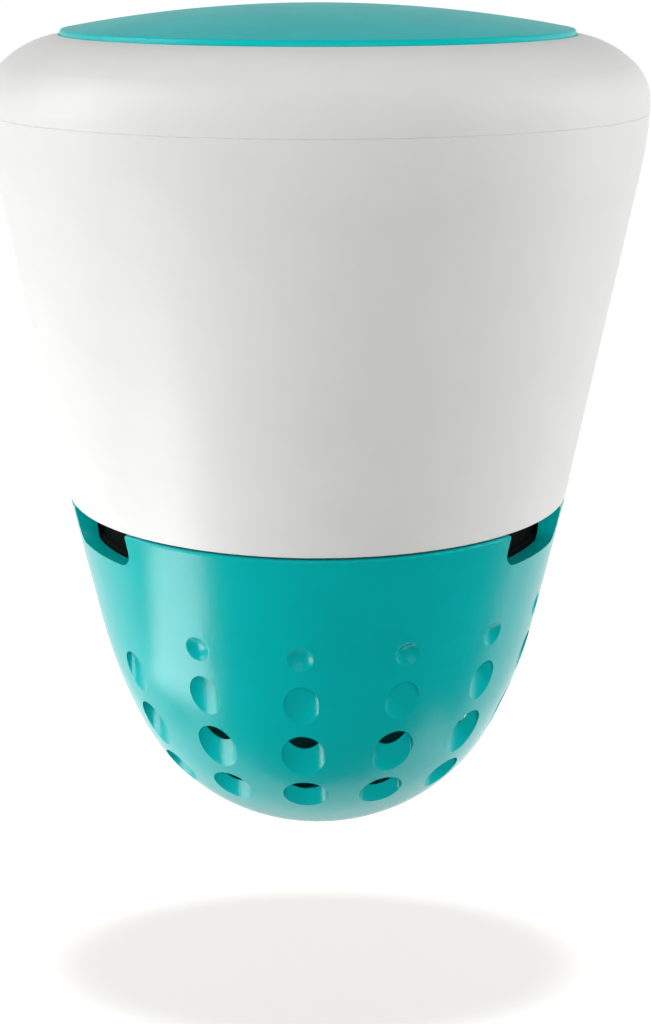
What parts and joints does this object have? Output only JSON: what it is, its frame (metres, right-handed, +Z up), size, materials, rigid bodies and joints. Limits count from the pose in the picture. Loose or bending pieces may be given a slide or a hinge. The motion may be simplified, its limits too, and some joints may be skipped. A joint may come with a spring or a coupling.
{
  "type": "floating pool water analyser",
  "caption": "Tapered white float with a teal push-fit cap and a perforated teal guard round water-sensing probes.",
  "frame": {"origin": "lowest edge of the guard, on the axis of revolution", "axes": "+Z up along the axis; -Y is the face seen first, with a finger notch on each side of it"},
  "size_m": [0.1654, 0.1654, 0.2159],
  "materials": {
    "white_shell": "satin",
    "teal_plastic": "fine texture",
    "black_plastic": "matt",
    "grey_plastic": "matt",
    "black_rubber": "matt",
    "teal_rubber": "matt",
    "stainless": "satin",
    "ballast_iron": "zinc plated",
    "circuit_board": "solder mask",
    "components": "moulded",
    "diffuser": "frosted",
    "probe_glass": "clear",
    "platinum": "polished",
    "cell_wrap": "shrink sleeve",
    "nickel": "plated"
  },
  "bodies": {
    "hull": {"upper_shell": "white_shell", "lower_shell": "white_shell", "hull_gasket": "black_rubber", "button_boot": "black_rubber", "tact_switch": "components", "status_lens": "diffuser", "status_diode": "diffuser", "usb_socket": "stainless", "closure_screws": "stainless", "chassis": "grey_plastic", "chassis_screws": "stainless", "main_board": "circuit_board", "board_modules": "components", "main_board_screws": "stainless", "sensor_board": "circuit_board", "sensor_board_parts": "components", "sensor_board_screws": "stainless", "battery_holder": "black_plastic", "battery_cells": "cell_wrap", "battery_contacts": "nickel", "ballast_ring": "ballast_iron", "sensor_deck": "black_plastic", "deck_seal": "black_rubber", "grip_ring": "black_rubber", "deck_screws": "stainless", "temperature_pin": "stainless", "conductivity_pins": "stainless"},
    "cap": {"top_cap": "teal_plastic", "cap_disc": "teal_plastic", "cap_seal": "black_rubber"},
    "button": {"power_button": "teal_rubber"},
    "plug": {"port_plug": "black_rubber"},
    "guard": {"guard_cup": "teal_plastic"},
    "ph_probe": {"ph_probe_body": "black_plastic", "ph_probe_glass": "probe_glass", "ph_probe_seal": "black_rubber"},
    "orp_probe": {"orp_probe_body": "black_plastic", "orp_probe_tip": "platinum", "orp_probe_seal": "black_rubber"}
  },
  "joints": [
    {"name": "cap_lift", "type": "slide", "parent": "hull", "child": "cap", "axis": [0, 0, 1], "range_m": [0, 0.05]},
    {"name": "button_press", "type": "slide", "parent": "hull", "child": "button", "axis": [0, 0, -1], "range_m": [0, 0.001], "stiffness_N_per_m": 800},
    {"name": "plug_pull", "type": "slide", "parent": "hull", "child": "plug", "axis": [0, 0, 1], "range_m": [0, 0.006]},
    {"name": "guard_pull", "type": "slide", "parent": "hull", "child": "guard", "axis": [0, 0, -1], "range_m": [0, 0.1]},
    {"name": "ph_probe_pull", "type": "slide", "parent": "hull", "child": "ph_probe", "axis": [0, 0, -1], "range_m": [0, 0.026]},
    {"name": "orp_probe_pull", "type": "slide", "parent": "hull", "child": "orp_probe", "axis": [0, 0, -1], "range_m": [0, 0.026]}
  ]
}
